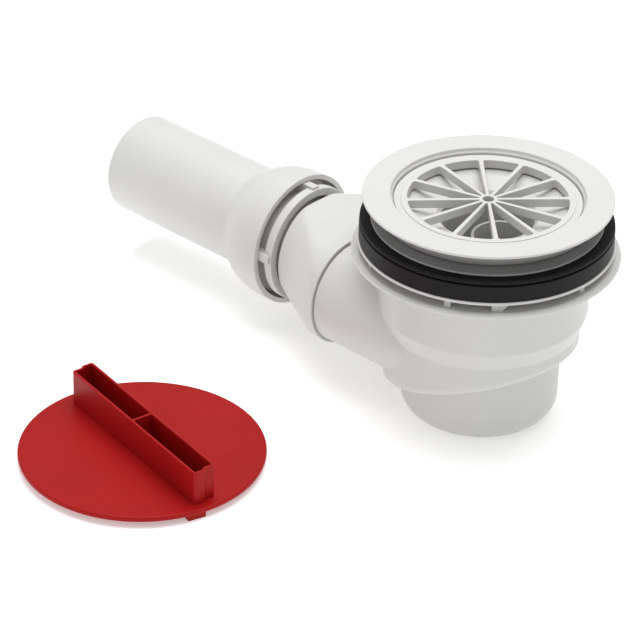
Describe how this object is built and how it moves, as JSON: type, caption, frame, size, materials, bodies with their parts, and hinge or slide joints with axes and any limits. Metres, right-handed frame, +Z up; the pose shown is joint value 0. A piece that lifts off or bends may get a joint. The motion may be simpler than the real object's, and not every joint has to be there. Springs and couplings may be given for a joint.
{
  "type": "shower trap",
  "caption": "Shower trap with a spoked grille, clamping flange and gaskets, lift-out dip tube, cupped body and a ball-jointed outlet pipe, with its loose site cover.",
  "frame": {"origin": "centre of the flat foot under the trap's cup", "axes": "+Z up the trap's axis to the grille, -X along the outlet pipe"},
  "size_m": [0.2894, 0.2645, 0.113],
  "materials": {
    "white_plastic": "satin moulded polypropylene",
    "black_rubber": "matt moulded rubber",
    "grey_rubber": "satin soft seal",
    "red_plastic": "satin moulded plastic"
  },
  "bodies": {
    "trap": {"trap_body": "white_plastic", "tray_gasket": "black_rubber", "flange_gasket": "grey_rubber", "top_flange": "white_plastic", "grille": "white_plastic", "dip_tube": "white_plastic", "insert_seal": "black_rubber", "outlet_adapter": "white_plastic", "site_cover": "red_plastic"},
    "joint_seal": {"ball_seal": "black_rubber"},
    "joint_ring": {"retaining_ring": "white_plastic"},
    "outlet": {"outlet_pipe": "white_plastic"}
  },
  "joints": [
    {"name": "outlet_turn", "type": "hinge", "parent": "trap", "child": "joint_seal", "pos_m": [-0.129, 0, 0.0425], "axis": [1, 0, 0], "continuous": true},
    {"name": "outlet_tilt", "type": "hinge", "parent": "joint_seal", "child": "joint_ring", "pos_m": [-0.129, 0, 0.0425], "axis": [0, 1, 0], "range_deg": [-6, 6]},
    {"name": "pipe_spin", "type": "hinge", "parent": "joint_ring", "child": "outlet", "pos_m": [-0.129, 0, 0.0425], "axis": [1, 0, 0], "continuous": true}
  ]
}
